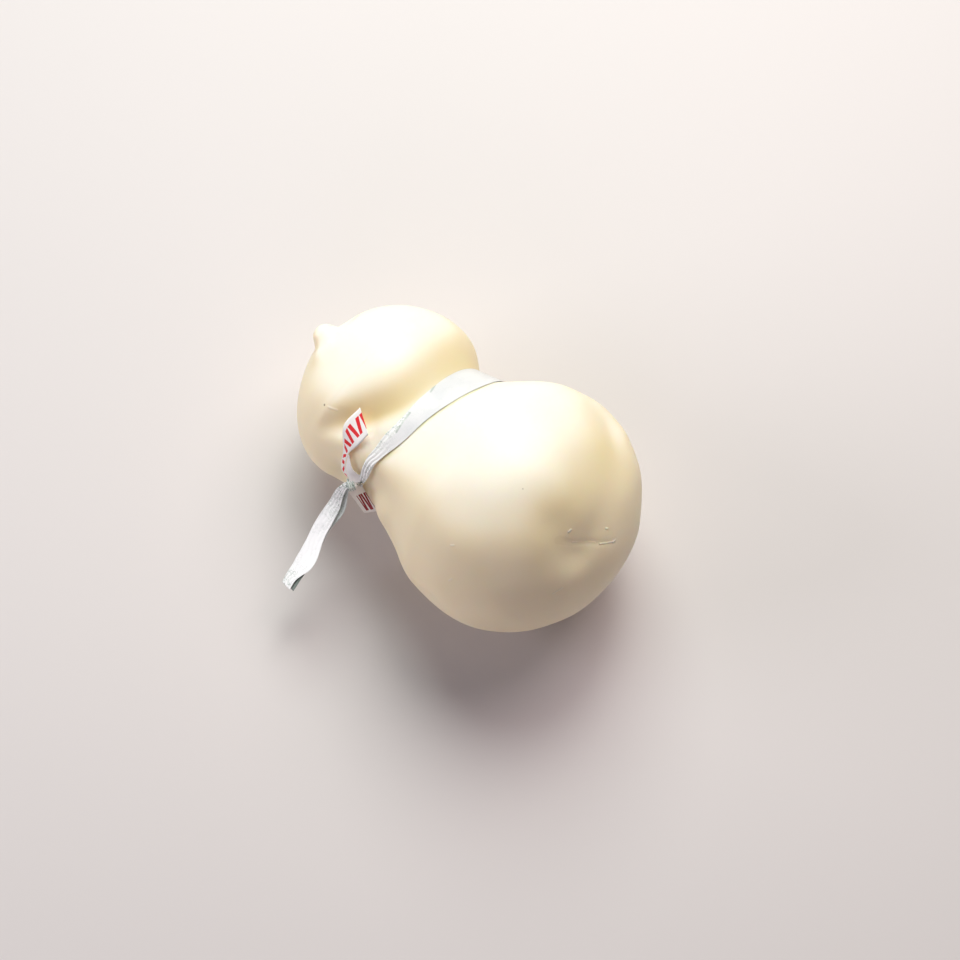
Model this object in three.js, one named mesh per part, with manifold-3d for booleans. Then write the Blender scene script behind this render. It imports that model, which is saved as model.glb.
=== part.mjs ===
// A scamorza lying on its side: one cheese of two balls with a neck between them, a plastic tie
// ribbon round the neck with its gathered ends hanging free, and a label tape knotted on those ends.
// Millimetres, +Z up. The cheese's own axis runs from the small ball, the head, to the large one, the
// body. Everything is shaped about that axis, with the head's centre at zero, and then laid down so
// that both balls rest on the floor.
import * as THREE from "three";
import { mergeVertices } from "three/addons/utils/BufferGeometryUtils.js";
import Module from "manifold-3d";

const wasm = await Module();
wasm.setup();

// Driving dimensions, in millimetres
const headRadius = 29.3;
const bodyRadius = 37.8;
const ballSpacing = 46.9;
const waist = { at: 17.6, radius: 24.8, shift: -1.9, reach: 11.6 };
const headEnds = 10.8; // where the head's arc gives way to the neck
const bodyStarts = 40.6; // where the body's arc begins
const nub = { radius: 3.75, proud: 0.6, base: 6.5, turn: -28, tilt: 36, swing: 5 };
const crease = { at: 12.4, run: 13, depth: 2.4, towardsHead: 6, towardsBody: 4.6 };
const dent = { depth: 2.4, towardsNeck: 9, towardsEnd: 6, pit: 0.7, pitReach: 6 };
const flats = { head: 1.2, body: 2.4 }; // how far the soft cheese has settled on each ball
const around = 56; // faces round the cheese
const gap = 0.45; // kept between pieces that touch

// The band crosses the top of the neck flat and open, and narrows to a strand at the knot
const band = {
  at: 14.7, // its middle on the axis, before the skew, the lean and the swerve
  skew: 2.6,
  lean: 2.6,
  swerve: 0.7,
  width: 10.8,
  strand: 2.1,
  thick: 0.6,
  bunched: 1,
  lift: 0.9, // how far the strand stands off the neck at the knot
};
const bandTurns = [-67, 291]; // its two ends, in degrees round the axis from the top
const tail = { width: 5.8, thick: 0.7, tied: 1.6, bunched: 0.9, lean: 34 };
const wrap = { across: 1.8, out: 1.45, tube: 0.45, length: 2.2 };
const tapeThick = 0.5;

// Gentle unevenness of the hand-shaped cheese: a place on it, how far it spreads and how high it rises
const swells = [
  { at: -31.3, turn: -57, reach: 3.4, rise: 2.3 }, // second lobe of the nub
  { at: -31, turn: -20, reach: 2.4, rise: 1.2 },
  { at: -29.2, turn: 103, reach: 3.4, rise: -2 }, // notch beside the nub
  { at: -11, turn: -97, reach: 13, rise: 1.5 }, // cheek of the head
  { at: 4, turn: -105, reach: 7, rise: -2 }, // flat below the cheek
  { at: 6.5, turn: -77, reach: 6.5, rise: -1.8 },
  { at: 13.9, turn: -52, reach: 6.5, rise: 2.4 }, // fullness of the neck beside the knot
  { at: 24, turn: -42, reach: 8.5, rise: 1.2 },
  { at: 22.5, turn: -79, reach: 6, rise: 2.7 }, // shoulder, near side
  { at: 36, turn: -90, reach: 8, rise: -0.5 },
  { at: 38, turn: -62, reach: 12, rise: -1.8 },
  { at: 48, turn: -95, reach: 9, rise: -1 },
  { at: 64, turn: -108, reach: 12, rise: 0.5 },
  { at: 82, turn: 180, reach: 12, rise: -0.9 }, // flat under the body's end
  { at: 27, turn: 60, reach: 7, rise: 0.4 }, // shoulder, far side
  { at: 38, turn: 70, reach: 8, rise: -0.8 },
  { at: 54, turn: 78, reach: 10, rise: 1.4 },
  { at: 69, turn: 84, reach: 10, rise: 0.5 }, // fullness beyond the dent
];

const rad = THREE.MathUtils.degToRad;
const { lerp, smoothstep } = THREE.MathUtils;
const bump = (distance, reach) => Math.exp(-((distance / reach) ** 2));
const alongY = new THREE.Vector3(0, 1, 0);
const alongZ = new THREE.Vector3(0, 0, 1);

// The cheese's outline as a turned form: x is the radius, y the distance along the axis.
// Each curve starts where the last one ends, in the same direction.
function outlineOf() {
  const nubCentre = -headRadius - nub.proud;
  const nubTurn = rad(nub.turn);
  const nubEnd = new THREE.Vector2(Math.cos(nubTurn), Math.sin(nubTurn)).multiplyScalar(nub.radius);
  nubEnd.y += nubCentre;
  const footTurn = Math.asin(nub.base / headRadius) - Math.PI / 2;
  const foot = new THREE.Vector2(headRadius * Math.cos(footTurn), headRadius * Math.sin(footTurn));
  const headTurn = Math.asin(headEnds / headRadius);
  const neck = new THREE.Vector2(headRadius * Math.cos(headTurn), headEnds);
  const narrowest = new THREE.Vector2(waist.radius, waist.at);
  const bodyTurn = Math.asin((bodyStarts - ballSpacing) / bodyRadius);
  const shoulder = new THREE.Vector2(bodyRadius * Math.cos(bodyTurn), bodyStarts);
  // leaves point a along its direction, arrives at point b along its own
  const blend = (a, turnA, reachA, b, turnB, reachB) =>
    new THREE.CubicBezierCurve(
      a,
      a.clone().add(new THREE.Vector2(-Math.sin(turnA), Math.cos(turnA)).multiplyScalar(reachA)),
      b.clone().sub(new THREE.Vector2(-Math.sin(turnB), Math.cos(turnB)).multiplyScalar(reachB)),
      b,
    );
  const arc = (centre, radius, from, to) =>
    new THREE.EllipseCurve(0, centre, radius, radius, from, to);
  const neckReach = (waist.at - headEnds) / 3;
  const shoulderReach = (bodyStarts - waist.at) / 3;
  return [
    [arc(nubCentre, nub.radius, -Math.PI / 2, nubTurn), 5],
    [blend(nubEnd, nubTurn, 1.3, foot, footTurn, 1.8), 3],
    [arc(0, headRadius, footTurn, headTurn), 17],
    [blend(neck, headTurn, neckReach / Math.cos(headTurn), narrowest, 0, neckReach), 5],
    [blend(narrowest, 0, shoulderReach, shoulder, bodyTurn, shoulderReach / Math.cos(bodyTurn)), 9],
    [arc(ballSpacing, bodyRadius, bodyTurn, Math.PI / 2), 17],
  ];
}

const stations = outlineOf().flatMap(([curve, steps], i) => curve.getPoints(steps).slice(i ? 1 : 0));
stations[0].x = 0;
stations.at(-1).x = 0;

// Radius of the turned form at a distance along the axis, between the nub and the body's end
function turnedRadius(at) {
  const i = stations.findIndex((p, n) => n > 0 && p.y >= at);
  const [a, b] = [stations[i - 1], stations[i]];
  return lerp(a.x, b.x, (at - a.y) / (b.y - a.y));
}

// A point of the turned form: at along the axis, turn round it from the top towards +Y
function onTurned(at, turn, radius = turnedRadius(at)) {
  return new THREE.Vector3(at, radius * Math.sin(turn), radius * Math.cos(turn));
}

const lumps = swells.map((s) => ({ ...s, centre: onTurned(s.at, rad(s.turn)) }));
const dentFrom = onTurned(56, rad(66));
const dentTo = onTurned(79, rad(-8));
const dentPit = onTurned(71.5, rad(-7));
const dentLine = new THREE.Line3(dentFrom, dentTo);

// The crease under the head: straight over the far side, running off towards the nub on the near one
function creaseAt(turn) {
  return crease.at - crease.run * (Math.max(0, rad(10) - turn) / rad(60)) ** 2;
}

// How far the surface stands proud of the turned form
function relief(point, at, turn) {
  let rise = 0;
  const past = at - creaseAt(turn);
  const shown = smoothstep(turn, rad(-66), rad(-36)) * (1 - smoothstep(turn, rad(105), rad(165)));
  rise -= shown * crease.depth * bump(past, past < 0 ? crease.towardsHead : crease.towardsBody);
  for (const lump of lumps) rise += lump.rise * bump(point.distanceTo(lump.centre), lump.reach);
  const nearest = dentLine.closestPointToPoint(point, true, new THREE.Vector3());
  const spread = lerp(dent.towardsNeck, dent.towardsEnd, smoothstep(point.x - nearest.x, -5, 5));
  rise -= dent.depth * bump(point.distanceTo(nearest), spread);
  rise -= dent.pit * bump(point.distanceTo(dentPit), dent.pitReach);
  return rise;
}

// The neck is tied a little off the line between the two balls
function offCentre(point, at) {
  point.y += waist.shift * bump(at - waist.at, waist.reach);
  return point;
}

// Lays the cheese down with both balls on the floor
const restingLean = Math.asin((bodyRadius - flats.body - (headRadius - flats.head)) / ballSpacing);
function layDown(point) {
  point.applyAxisAngle(alongY, -restingLean);
  point.z += headRadius - flats.head;
  return point;
}

// Geometry whose shared points are merged and moved, without the slivers left at the poles
function shaped(geometry, move) {
  geometry.deleteAttribute("normal");
  geometry.deleteAttribute("uv");
  const merged = mergeVertices(geometry, 1e-4);
  const faces = [];
  const index = merged.index.array;
  for (let i = 0; i < index.length; i += 3) {
    const [a, b, c] = index.slice(i, i + 3);
    if (a !== b && b !== c && c !== a) faces.push(a, b, c);
  }
  merged.setIndex(faces);
  const position = merged.attributes.position;
  for (let i = 0; i < position.count; i++) {
    const moved = move(new THREE.Vector3().fromBufferAttribute(position, i));
    position.setXYZ(i, moved.x, moved.y, moved.z);
  }
  return merged;
}

// A flat strip from a box blank: place() takes the share of the length, from 0 to 1, and the
// places across the width and through the thickness, each from -0.5 to 0.5
function strip(lengthSteps, widthSteps, place) {
  const blank = new THREE.BoxGeometry(1, 1, 1, lengthSteps, widthSteps, 1);
  return shaped(blank, (p) => place(p.x + 0.5, p.y, p.z));
}

function joined(geometries) {
  const solids = geometries.map(
    (g) => new wasm.Manifold(new wasm.Mesh({
      numProp: 3,
      vertProperties: Float32Array.from(g.attributes.position.array),
      triVerts: Uint32Array.from(g.index.array),
    })),
  );
  const mesh = solids.reduce((whole, next) => whole.add(next)).getMesh();
  const geometry = new THREE.BufferGeometry();
  geometry.setAttribute("position", new THREE.BufferAttribute(mesh.vertProperties, 3));
  geometry.setIndex(new THREE.BufferAttribute(mesh.triVerts, 1));
  return geometry;
}

function piece(name, geometry, color, roughness) {
  const mesh = new THREE.Mesh(geometry, new THREE.MeshStandardMaterial({ color, roughness, metalness: 0 }));
  mesh.name = name;
  return mesh;
}

// Cheese
function cheeseGeometry() {
  const turned = new THREE.LatheGeometry(stations, around).rotateZ(-Math.PI / 2);
  return shaped(turned, (p) => {
    const at = p.x;
    const turn = Math.atan2(p.y, p.z);
    const outwards = p.clone();
    outwards.x -= THREE.MathUtils.clamp(at, 0, ballSpacing);
    p.addScaledVector(outwards.normalize(), relief(p, at, turn));
    const towardsNub = 1 - smoothstep(at, -27, 0);
    p.applyAxisAngle(alongZ, rad(nub.swing) * towardsNub);
    p.applyAxisAngle(alongY, rad(nub.tilt) * towardsNub);
    layDown(offCentre(p, at));
    p.z = Math.max(p.z, 0);
    return p;
  });
}

// Tie ribbon
const skinRadius = (at, turn) => turnedRadius(at) + relief(onTurned(at, turn), at, turn);

// The highest of the skin close by, so that the band clears the crease's lip
const clearRadius = (at, turn) => Math.max(...[-1, 0, 1].map((step) => skinRadius(at + step, turn)));

// A point of the band: an angle in degrees, and its places across and through, each -0.5 to 0.5
function onBand(degrees, across, through) {
  const [starts, ends] = bandTurns;
  const turn = rad(degrees);
  const open = smoothstep(degrees, starts, 56) * (1 - smoothstep(degrees, 215, ends));
  const tied = 1 - smoothstep(Math.min(degrees - starts, ends - degrees), 0, 45);
  const width = lerp(band.strand, band.width, open);
  const thick = lerp(band.thick, band.bunched, tied);
  const middle =
    band.at +
    band.skew * Math.sin(turn) +
    band.lean * Math.max(0, Math.cos(turn)) +
    band.swerve * bump(turn + rad(26), rad(16));
  const at = middle - width * across;
  const [near, far] = [middle - width / 2, middle + width / 2].map((edge) => skinRadius(edge, turn));
  const taut = Math.max(clearRadius(at, turn), lerp(near, far, 0.5 - across));
  const under = taut + gap + band.lift * tied;
  return layDown(offCentre(onTurned(at, turn, under + thick * (through + 0.5)), at));
}

function bandGeometry() {
  return strip(72, 4, (share, across, through) => onBand(lerp(...bandTurns, share), across, through));
}

// Where the band's ends run together, between one end and the other
const gather = onBand(bandTurns[0], 0, 0).lerp(onBand(bandTurns[1], 0, 0), 0.5);

function gatherGeometry() {
  const outwards = onBand(bandTurns[0], 0, 1).sub(onBand(bandTurns[0], 0, 0)).normalize();
  const round = new THREE.Vector3().crossVectors(outwards, new THREE.Vector3(1, 0, 0)).normalize();
  const across = new THREE.Vector3().crossVectors(round, outwards);
  const basis = new THREE.Matrix4().makeBasis(across, round, outwards);
  return shaped(new THREE.SphereGeometry(1, 14, 10).scale(1.5, 1.9, 1.2), (p) =>
    p.applyMatrix4(basis).add(gather),
  );
}

// The two gathered ends leave the knot together and hang clear of the floor
const tailRoute = new THREE.CatmullRomCurve3([
  gather,
  new THREE.Vector3(10, -30.6, 40.4),
  new THREE.Vector3(9.6, -32.5, 37.5),
  new THREE.Vector3(10.1, -35.3, 33.7),
  new THREE.Vector3(10.6, -42.4, 28.4),
  new THREE.Vector3(12.3, -50.4, 23.9),
  new THREE.Vector3(13.7, -61, 18.6),
]);
const knotShare = 0.1; // share of the route at which the label tape is knotted

// Directions at a share of the tail's route: along it, across its width and out of its face
function tailFrame(share) {
  const along = tailRoute.getTangentAt(share);
  const lean = rad(tail.lean * share);
  const across = new THREE.Vector3(Math.cos(lean), 0, Math.sin(lean));
  const out = new THREE.Vector3().crossVectors(along, across).normalize();
  return { centre: tailRoute.getPointAt(share), along, across: across.crossVectors(out, along), out };
}

function tailGeometry() {
  return strip(24, 2, (share, across, through) => {
    const open = smoothstep(Math.abs(share - knotShare), 0.035, 0.3);
    const width = lerp(tail.tied, tail.width, open);
    const thick = lerp(tail.bunched, tail.thick, open);
    const frame = tailFrame(share);
    return frame.centre
      .addScaledVector(frame.across, width * across)
      .addScaledVector(frame.out, thick * through);
  });
}

// Label tape: a turn round the gathered ends, and two free flags
const knot = tailFrame(knotShare);
const fromKnot = (across, out, along = 0) =>
  knot.centre
    .clone()
    .addScaledVector(knot.across, across)
    .addScaledVector(knot.out, out)
    .addScaledVector(knot.along, along);

function wrapGeometry() {
  const ring = new THREE.TorusGeometry(1, 0.5, 8, 18);
  return shaped(ring, (p) => {
    const turn = Math.atan2(p.y, p.x);
    const beyond = (Math.hypot(p.x, p.y) - 1) * 2 * wrap.tube;
    return fromKnot(
      (wrap.across + beyond) * Math.cos(turn),
      (wrap.out + beyond) * Math.sin(turn),
      p.z * wrap.length,
    );
  });
}

// A flag spans two edges, each a smooth line through a few points
function flagGeometry(leftPoints, rightPoints) {
  const [left, right] = [leftPoints, rightPoints].map((points) => new THREE.CatmullRomCurve3(points));
  return strip(12, 3, (share, across, through) => {
    const [a, b] = [left.getPoint(share), right.getPoint(share)];
    const out = left.getTangent(share).cross(b.clone().sub(a)).normalize();
    return a.lerp(b, 0.5 - across).addScaledVector(out, -tapeThick * through);
  });
}

const at = (x, y, z) => new THREE.Vector3(x, y, z);
const upperFlag = [
  [fromKnot(-1.9, 1), at(5.8, -28.6, 43.2), at(2.6, -24.9, 48), at(-0.6, -20.6, 52.4), at(-0.4, -14.4, 55.6)],
  [fromKnot(0.9, 1.9), at(7.6, -26.9, 45.8), at(5.6, -25.2, 48), at(6.4, -21.9, 51.8), at(6.9, -18, 54.4)],
];
const lowerFlag = [
  [fromKnot(0.7, 1.9), at(12, -32.4, 36), at(15.9, -32, 30.4)],
  [fromKnot(1.9, 1.1), at(14.6, -29.6, 37), at(19.4, -28.6, 31.4)],
];

const scamorza = new THREE.Group();
scamorza.add(
  piece("cheese", cheeseGeometry(), 0xf6ecd2, 0.42),
  piece("tie_ribbon", joined([bandGeometry(), tailGeometry(), gatherGeometry()]), 0xf4f6f0, 0.35),
  piece(
    "label_tape",
    joined([wrapGeometry(), flagGeometry(...upperFlag), flagGeometry(...lowerFlag)]),
    0xf5f1ee,
    0.4,
  ),
);

// The origin is on the floor, under the middle of the whole
const box = new THREE.Box3().setFromObject(scamorza);
const middle = box.getCenter(new THREE.Vector3());
scamorza.position.set(-middle.x, -middle.y, -box.min.z);

export default scamorza;
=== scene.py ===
import math

import bpy
import numpy as np
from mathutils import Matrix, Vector


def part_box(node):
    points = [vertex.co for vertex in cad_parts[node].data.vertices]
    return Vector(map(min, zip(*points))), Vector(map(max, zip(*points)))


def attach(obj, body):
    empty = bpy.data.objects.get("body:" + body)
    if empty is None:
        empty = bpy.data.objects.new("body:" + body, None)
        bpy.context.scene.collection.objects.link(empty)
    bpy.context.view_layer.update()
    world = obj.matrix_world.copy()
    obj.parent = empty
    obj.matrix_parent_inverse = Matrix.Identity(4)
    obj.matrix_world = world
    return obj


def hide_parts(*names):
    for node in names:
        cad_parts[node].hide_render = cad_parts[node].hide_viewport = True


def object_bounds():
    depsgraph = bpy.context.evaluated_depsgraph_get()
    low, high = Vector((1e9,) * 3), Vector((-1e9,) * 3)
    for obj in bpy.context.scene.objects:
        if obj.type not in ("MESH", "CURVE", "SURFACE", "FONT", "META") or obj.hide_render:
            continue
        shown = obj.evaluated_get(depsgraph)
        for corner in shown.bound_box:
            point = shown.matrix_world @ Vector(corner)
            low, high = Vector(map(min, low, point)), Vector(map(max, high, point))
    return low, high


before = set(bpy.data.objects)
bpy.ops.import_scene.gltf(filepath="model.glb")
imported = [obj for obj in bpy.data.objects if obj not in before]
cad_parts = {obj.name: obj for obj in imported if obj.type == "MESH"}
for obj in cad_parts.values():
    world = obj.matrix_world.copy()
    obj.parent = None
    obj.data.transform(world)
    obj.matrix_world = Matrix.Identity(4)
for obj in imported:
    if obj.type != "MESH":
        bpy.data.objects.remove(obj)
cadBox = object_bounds()
print("frame loaded")

millimetre = 0.001
axisX = np.array([1.0, 0.0, 0.0])


# Numbers

def ramp(value, low, high):
    share = np.clip((value - low) / (high - low), 0, 1)
    return share * share * (3 - 2 * share)


def bump(distance, reach):
    return np.exp(-((distance / reach) ** 2))


def blend(a, b, share):
    return a + (b - a) * share


def unit(vectors):
    return vectors / np.maximum(np.linalg.norm(vectors, axis=-1, keepdims=True), 1e-9)


# A smooth line through rows of numbers, spaced by the square root of the distance between them
def smoothLine(rows, steps):
    rows = np.array(rows, float)
    rows = np.vstack([2 * rows[0] - rows[1], rows, 2 * rows[-1] - rows[-2]])
    line = []
    for a, b, c, d in zip(rows, rows[1:], rows[2:], rows[3:]):
        gaps = [math.sqrt(np.linalg.norm((q - p)[:3])) for p, q in ((a, b), (b, c), (c, d))]
        leave = ((b - a) / gaps[0] - (c - a) / (gaps[0] + gaps[1]) + (c - b) / gaps[1]) * gaps[1]
        arrive = ((c - b) / gaps[1] - (d - b) / (gaps[1] + gaps[2]) + (d - c) / gaps[2]) * gaps[1]
        for t in np.linspace(0, 1, steps, endpoint=False):
            line.append(
                (2 * t**3 - 3 * t**2 + 1) * b + (t**3 - 2 * t**2 + t) * leave
                + (3 * t**2 - 2 * t**3) * c + (t**3 - t**2) * arrive
            )
    line.append(rows[-2])
    return np.array(line)


def throughPlaces(places, steps=10):
    return smoothLine([(*place, 0) for place in places], steps)[:, :2]


def atShares(line, shares):
    lengths = np.concatenate([[0], np.cumsum(np.linalg.norm(np.diff(line[:, :3], axis=0), axis=1))])
    wanted = np.array(shares) * lengths[-1]
    return np.stack([np.interp(wanted, lengths, column) for column in line.T], axis=-1)


# Form of the cheese, in millimetres and degrees

cheese = {
    "headRadius": 29.3,
    "bodyRadius": 37.8,
    "spacing": 46.9,  # between the centres of the two balls
    "waistAt": 17.6,
    "waistRadius": 24.8,
    "waistShift": -1.9,
    "waistReach": 11.6,
    "headEnds": 10.8,
    "bodyStarts": 40.6,
    "nubRadius": 3.75,
    "nubProud": 0.6,
    "nubBase": 6.5,
    "nubTurn": -28,  # where its ball gives way to the flared foot, from its widest
    "nubReaches": (1.3, 1.8),  # of the blend between them, at the ball and at the foot
    "nubTilt": 36,
    "nubSwing": 5,  # towards the near side
    "nubMoves": (-27, 0),  # the tilt and the swing are whole before the first, and gone at the second
    "headFlat": 1.2,  # how far the soft cheese has settled on each ball
    "bodyFlat": 2.4,
    "unevenness": 0.16,
    "stations": 300,
    "crowded": [(5, 9, 0.7), (76, 9, 0.8)],  # where rings lie closer: place, reach and how much
    "nubCrowded": (-28.5, 1.2),
    "around": 318,
    "finerOnTop": 0.35,
}

crease = {
    "at": 12.4,
    "run": 13,  # how far it has run off towards the nub at its end
    "runsFrom": 10,  # degrees round the axis, like those that follow
    "runsOver": 60,
    "appears": (-66, -36),
    "fades": (105, 165),
    "depth": 2.4,
    "towardsHead": 6,
    "towardsBody": 4.6,
    # painted gold shade beside the crease, towards the head and the body, and where it is strongest
    "paintedShadeTowardsHead": 7,
    "paintedShadeTowardsBody": 2.5,
    "paintedShadeStrongest": (-22, 26),  # degrees round the axis and reach
}

dent = {
    "line": [(56, 66), (79, -8)],  # two places, each by its place on the axis and its turn from the top
    "pit": (71.5, -7),
    "depth": 2.4,
    "towardsNeck": 9,
    "towardsEnd": 6,
    "between": 5,  # how far to each side of the line one turns into the other
    "pitDepth": 0.7,
    "pitReach": 6,
    # a line of painted gold shade across the dent, and its reach
    "paintedShadeGold": [(64, 50), (66.5, 30), (68, 8), (71, -12)],
    "paintedShadeReach": 9,
}

# A soft wrinkle across the dented side, wet round it
wrinkle = {
    "line": [(74.5, -12), (77.6, -6), (80, 7), (81.2, 20), (81.6, 33)],
    "depth": 0.16,
    "width": 1.1,
    "wetReach": 2.2,
}

# Fine welts, each between two places, with its width and how proud it stands. Each is also painted paler
# along its line: a painted highlight.
welts = [
    ((80.9, 14), (81.7, 31), 0.45, 0.2),
    ((81.6, 30), (81.6, 34), 0.6, 0.3),
    ((77.5, -6), (80.4, 10), 0.35, 0.05),
    ((75, -3), (75.1, -1.5), 0.6, 0.24),
    ((79.5, 25), (79.6, 27), 0.5, 0.16),
    ((-9.9, -42.6), (-3, -39), 0.6, 0.1),
    ((52.6, -45), (53.4, -44.4), 0.5, 0.12),
    ((56.4, -63.5), (57.1, -62), 0.5, 0.1),
    ((79.4, -51.3), (80.4, -43.6), 0.4, 0.12),
]
# Dark specks: place, radius and how dark
specks = [(-14.7, -46.4, 0.45, 0.8), (59.6, -5, 0.3, 0.35)]

# Gentle swells and hollows: place on the axis, turn from the top, reach and rise
swells = [
    (-31.3, -57, 3.4, 2.3),
    (-31, -20, 2.4, 1.2),
    (-29.2, 103, 3.4, -2),
    (-11, -97, 13, 1.5),
    (4, -105, 7, -2),
    (6.5, -77, 6.5, -1.8),
    (13.9, -52, 6.5, 2.4),
    (24, -42, 8.5, 1.2),
    (38, -62, 12, -1.8),
    (22.5, -79, 6, 2.7),
    (28, -90, 5, 0.9),
    (40, -93, 6, -0.4),
    (48, -95, 9, -1),
    (64, -108, 12, 0.5),
    (82, 180, 12, -0.9),
    (27, 60, 7, 0.4),
    (38, 70, 8, -0.8),
    (54, 78, 10, 1.4),
    (69, 84, 10, 0.5),
]


def arc(centre, radius, start, end, steps=200):
    turn = np.linspace(start, end, steps)
    return np.stack([centre + radius * np.sin(turn), radius * np.cos(turn)], axis=1)


# Leaves a along its direction and arrives at b along its own, as turns on the arcs beside them
def between(a, turnA, reachA, b, turnB, reachB, steps=80):
    t = np.linspace(0, 1, steps)[:, None]
    c = a + reachA * np.array([math.cos(turnA), -math.sin(turnA)])
    d = b - reachB * np.array([math.cos(turnB), -math.sin(turnB)])
    return (1 - t) ** 3 * a + 3 * (1 - t) ** 2 * t * c + 3 * (1 - t) * t**2 * d + t**3 * b


def outlineOf(c):
    nubTurn = math.radians(c["nubTurn"])
    footTurn = math.asin(c["nubBase"] / c["headRadius"]) - math.pi / 2
    headTurn = math.asin(c["headEnds"] / c["headRadius"])
    bodyTurn = math.asin((c["bodyStarts"] - c["spacing"]) / c["bodyRadius"])
    nubBall = arc(-c["headRadius"] - c["nubProud"], c["nubRadius"], -math.pi / 2, nubTurn)
    head = arc(0, c["headRadius"], footTurn, headTurn)
    body = arc(c["spacing"], c["bodyRadius"], bodyTurn, math.pi / 2)
    waist = np.array([c["waistAt"], c["waistRadius"]])
    neckReach = (c["waistAt"] - c["headEnds"]) / 3
    bodyReach = (c["bodyStarts"] - c["waistAt"]) / 3
    return np.concatenate([
        nubBall,
        between(nubBall[-1], nubTurn, c["nubReaches"][0], head[0], footTurn, c["nubReaches"][1])[1:],
        head[1:],
        between(head[-1], headTurn, neckReach / math.cos(headTurn), waist, 0, neckReach)[1:],
        between(waist, 0, bodyReach, body[0], bodyTurn, bodyReach / math.cos(bodyTurn))[1:],
        body[1:],
    ])


outline = outlineOf(cheese)
ballOutline = outline[outline[:, 0] > -cheese["headRadius"] + 1]


def onTurned(at, turn):
    radius = np.interp(at, ballOutline[:, 0], ballOutline[:, 1])
    return np.stack([at + 0 * turn, radius * np.sin(turn), radius * np.cos(turn)], axis=-1)


def onSurface(places):
    return np.array([onTurned(float(at), math.radians(turn)) for at, turn in places])


# Distance from each point to a line of places, and the share of the line that is nearest
def fromLine(points, corners):
    best = np.full(points.shape[:-1], 1e9)
    share = np.zeros(points.shape[:-1])
    for i, (a, b) in enumerate(zip(corners, corners[1:])):
        along = np.clip((points - a) @ (b - a) / ((b - a) @ (b - a)), 0, 1)
        away = np.linalg.norm(points - a - along[..., None] * (b - a), axis=-1)
        share = np.where(away < best, (i + along) / (len(corners) - 1), share)
        best = np.minimum(best, away)
    return best, share


def creaseAt(turn):
    past = np.maximum(0, math.radians(crease["runsFrom"]) - turn)
    return crease["at"] - crease["run"] * (past / math.radians(crease["runsOver"])) ** 2


def creaseShown(turn):
    degrees = np.degrees(turn)
    return ramp(degrees, *crease["appears"]) * (1 - ramp(degrees, *crease["fades"]))


# How far the surface stands proud of the turned form
def relief(points, at, turn):
    past = at - creaseAt(turn)
    shown = creaseShown(turn)
    reach = np.where(past < 0, crease["towardsHead"], crease["towardsBody"])
    rise = -shown * crease["depth"] * bump(past, reach)
    for place, side, reach, height in swells:
        centre = onSurface([(place, side)])[0]
        rise += height * bump(np.linalg.norm(points - centre, axis=-1), reach)
    start, end = onSurface(dent["line"])
    away, share = fromLine(points, [start, end])
    beyond = ramp(points[..., 0] - blend(start[0], end[0], share), -dent["between"], dent["between"])
    rise -= dent["depth"] * bump(away, blend(dent["towardsNeck"], dent["towardsEnd"], beyond))
    pit = np.linalg.norm(points - onSurface([dent["pit"]])[0], axis=-1)
    return rise - dent["pitDepth"] * bump(pit, dent["pitReach"])


def offCentre(points, at):
    points[..., 1] += cheese["waistShift"] * bump(at - cheese["waistAt"], cheese["waistReach"])
    return points


settled = {
    "head": cheese["headRadius"] - cheese["headFlat"],
    "body": cheese["bodyRadius"] - cheese["bodyFlat"],
}
restingLean = math.asin((settled["body"] - settled["head"]) / cheese["spacing"])


# +X turns towards the other axis
def turnedTo(axis, points, angle):
    c, s = np.cos(angle), np.sin(angle)
    other = "XYZ".index(axis)
    result = np.array(points, float)
    result[..., 0] = points[..., 0] * c - points[..., other] * s
    result[..., other] = points[..., 0] * s + points[..., other] * c
    return result


def layDown(points):
    return turnedTo("Z", points, restingLean) + np.array([0, 0, settled["head"]])


def skinPoint(at, turn, lift):
    at, turn = np.asarray(at, float), np.asarray(turn, float)
    points = onTurned(at, turn)
    outwards = unit(points - np.clip(at, 0, cheese["spacing"])[..., None] * axisX)
    rise = relief(points, at, turn) + lift
    return layDown(offCentre(points + outwards * rise[..., None], at))


# Rings crowd together where the folds and the nub are
def stationsOf(line, count):
    at = line[:, 0]
    steps = np.linalg.norm(np.diff(line, axis=0), axis=1)
    dense = 1.0
    for place, reach, more in cheese["crowded"]:
        dense = dense + more * bump(at - place, reach)
    nubEnds, more = cheese["nubCrowded"]
    dense = dense + more * (at < nubEnds)
    grown = np.concatenate([[0], np.cumsum(steps * dense[1:])])
    wanted = np.linspace(0, grown[-1], count)
    return np.stack([np.interp(wanted, grown, line[:, i]) for i in (0, 1)], axis=1)


def lumpiness(points, seed, waves=14, lowest=0.05, highest=0.16):
    rng = np.random.default_rng(seed)
    total = 0
    for _ in range(waves):
        direction = unit(rng.normal(size=3)) * rng.uniform(lowest, highest) * math.pi
        total = total + np.sin(points @ direction + rng.uniform(0, 2 * math.pi))
    return total / math.sqrt(waves)


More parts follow.
